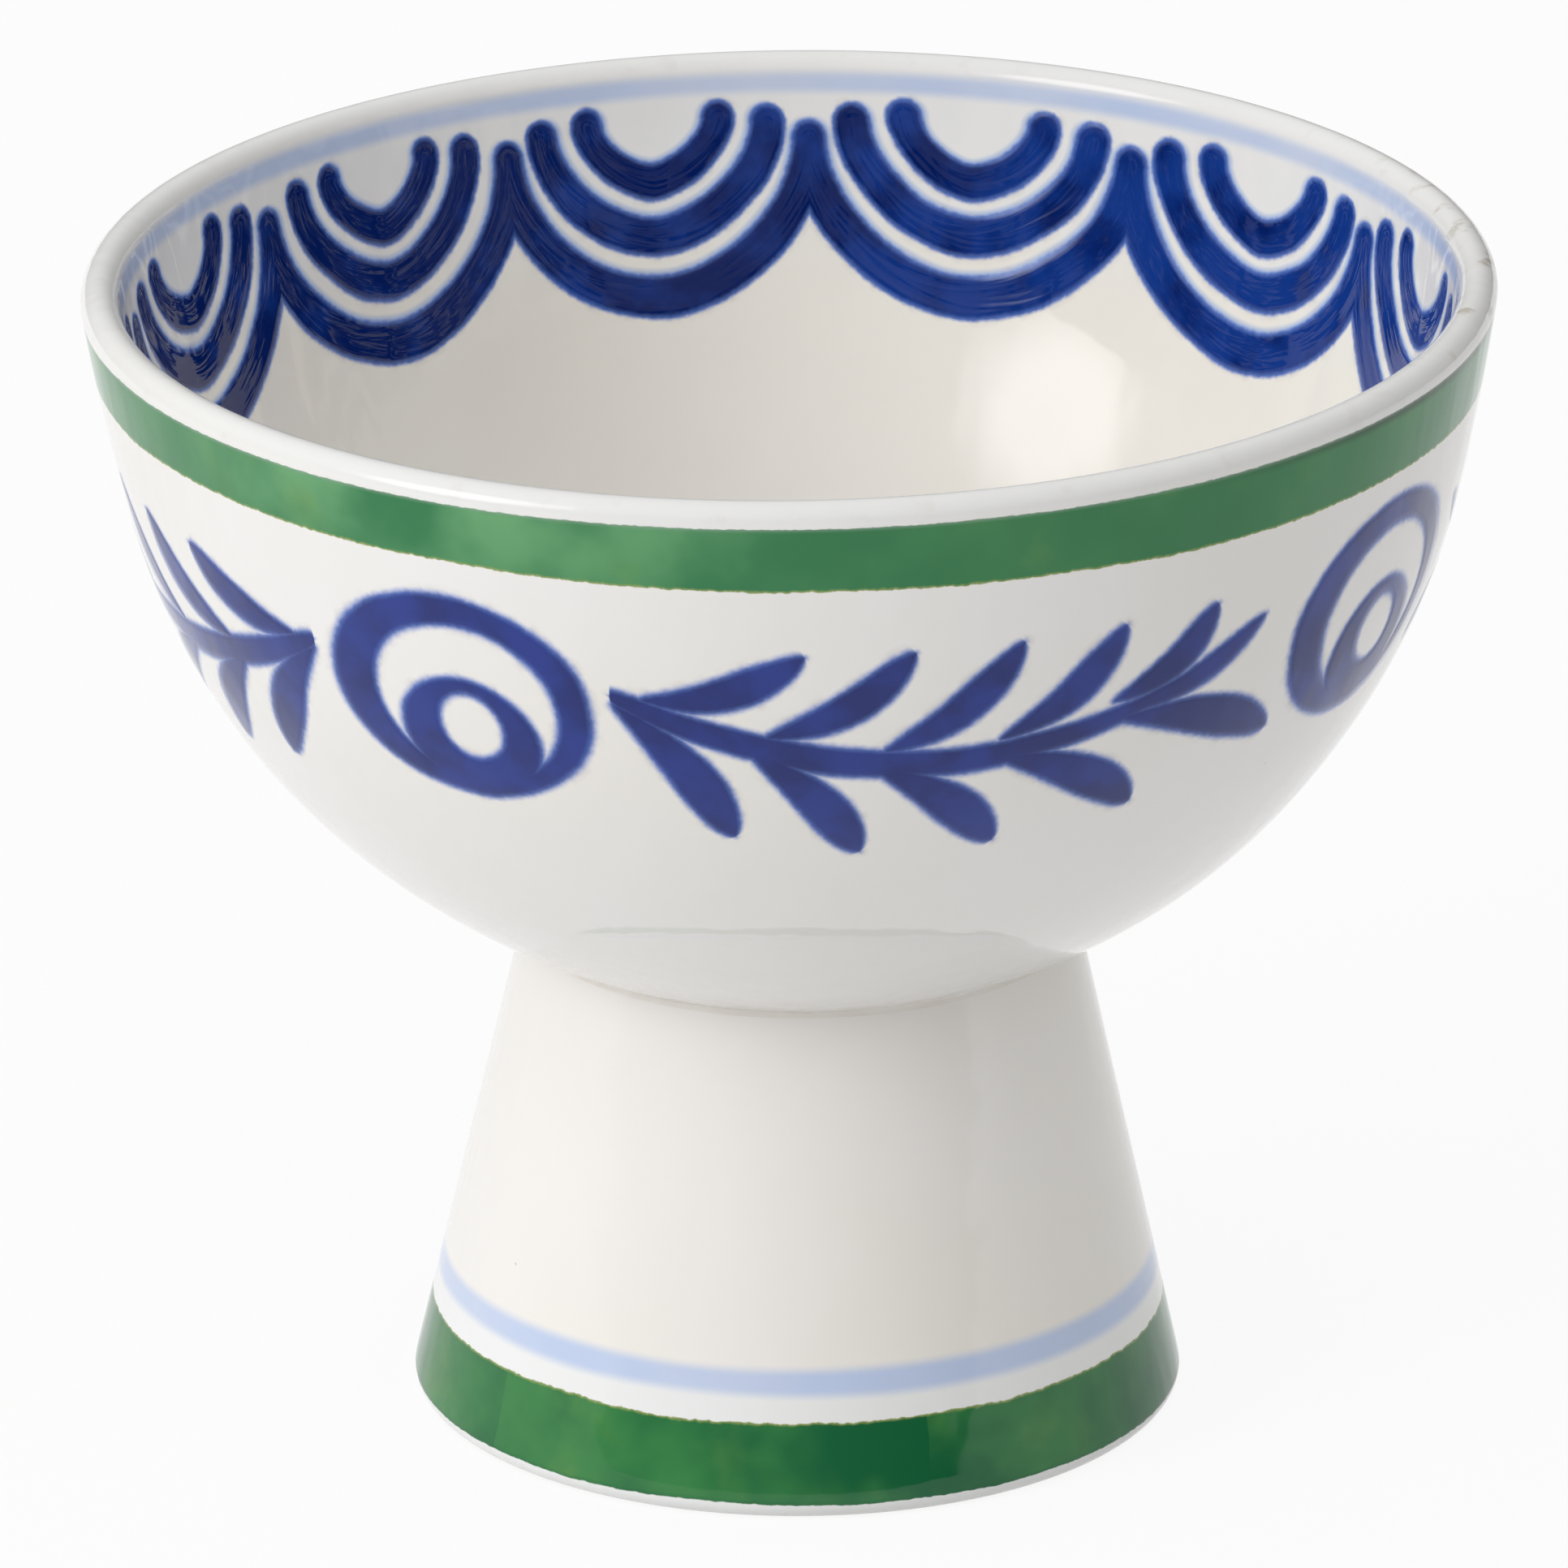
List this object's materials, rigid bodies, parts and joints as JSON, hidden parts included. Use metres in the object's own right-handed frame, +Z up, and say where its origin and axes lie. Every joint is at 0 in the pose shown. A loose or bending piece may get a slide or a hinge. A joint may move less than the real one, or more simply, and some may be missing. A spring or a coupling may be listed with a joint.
{
  "type": "footed bowl",
  "caption": "Deep round glazed bowl with a rounded lip on a flared hollow foot, painted with green bands, blue leaf sprays, ring roundels and a scalloped inside border.",
  "frame": {"origin": "centre of the foot's standing ring, on the table", "axes": "+Z up along the bowl's axis, out of its mouth; -Y towards the viewer of the picture"},
  "size_m": [0.14, 0.14, 0.118],
  "materials": {
    "bowl_glaze": "gloss",
    "slip": "satin",
    "foot_glaze": "gloss"
  },
  "bodies": {
    "root": {"bowl": "bowl_glaze", "luting_slip": "slip", "foot": "foot_glaze"}
  },
  "joints": []
}
